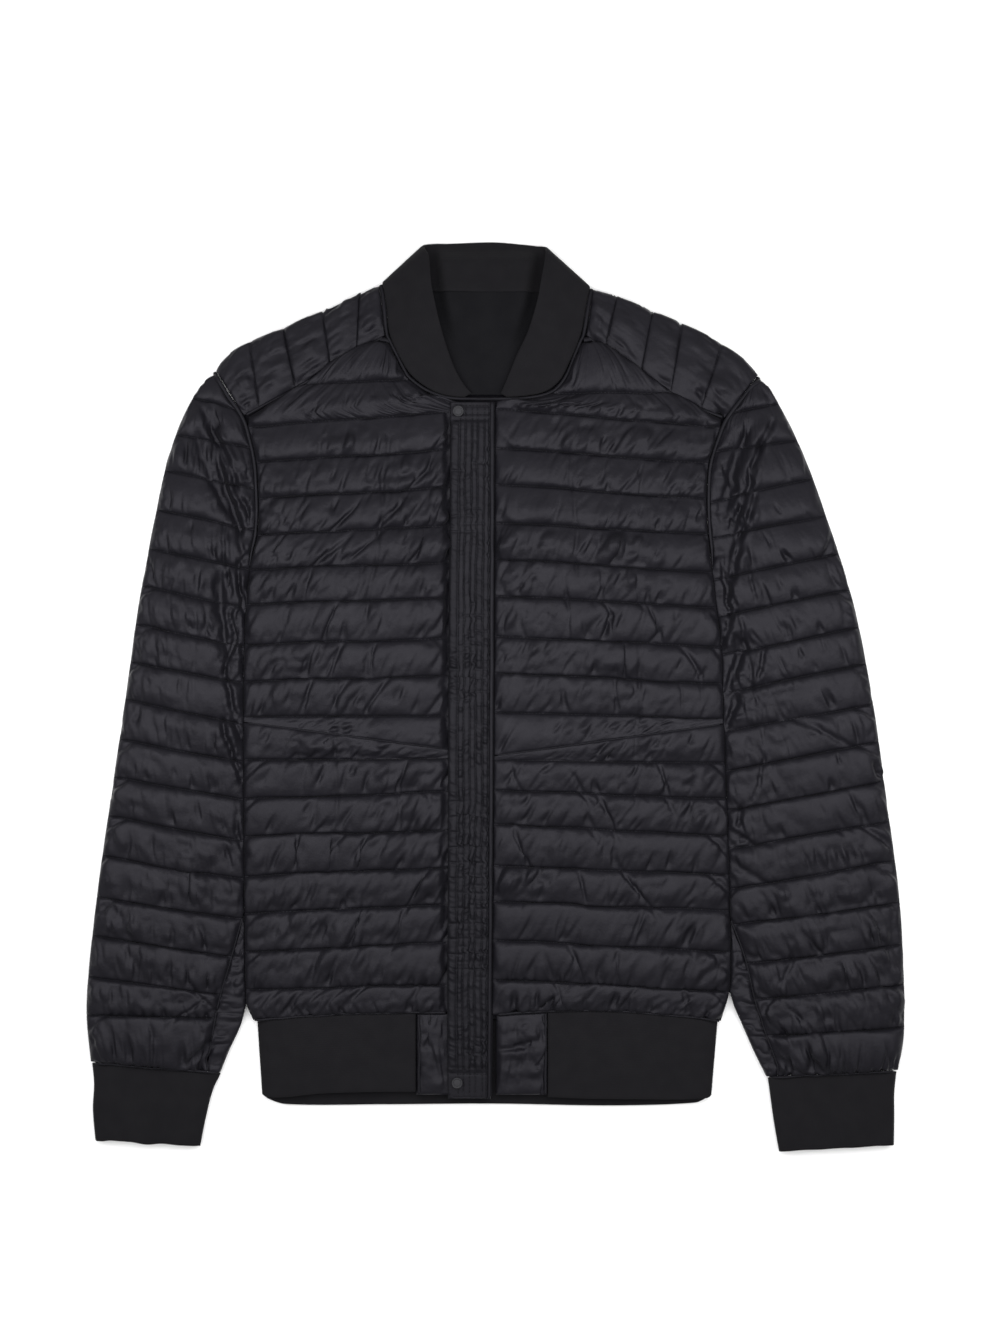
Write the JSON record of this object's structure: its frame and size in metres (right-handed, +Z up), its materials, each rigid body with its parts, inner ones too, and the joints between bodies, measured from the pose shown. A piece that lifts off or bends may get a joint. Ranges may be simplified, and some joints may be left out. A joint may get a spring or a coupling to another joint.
{
  "type": "quilted bomber jacket",
  "caption": "Lightweight padded bomber jacket, fastened and laid flat, with cross-wise quilting, knit collar, cuffs and hem, shoulder yokes and a snap placket.",
  "frame": {"origin": "on the surface it lies on, under the middle of the laid-out jacket", "axes": "+Z up out of the front of the jacket, +Y towards the collar, +X towards the wearer's left sleeve"},
  "size_m": [0.7124, 0.7936, 0.0238],
  "materials": {
    "shell": "black downproof nylon with a soft gloss, quilted over light padding",
    "knit": "black fine rib knit, matt",
    "lining": "black plain-woven lining, low sheen",
    "snap": "dark grey matt snap caps"
  },
  "bodies": {
    "root": {"back": "shell", "front_right_upper": "shell", "front_right_lower": "shell", "front_left_upper": "shell", "front_left_lower": "shell", "sleeve_right_upper": "shell", "sleeve_right_under": "shell", "sleeve_left_upper": "shell", "sleeve_left_under": "shell", "yoke_right": "shell", "yoke_left": "shell", "placket": "shell", "placket_binding": "shell", "hem_tab_right": "shell", "hem_tab_left": "shell", "neck_piping": "shell", "armhole_piping_right": "shell", "armhole_piping_left": "shell", "collar": "knit", "hem_band": "knit", "cuff_right": "knit", "cuff_left": "knit", "lining_back": "lining", "snap_top": "snap", "snap_bottom": "snap"}
  },
  "joints": []
}
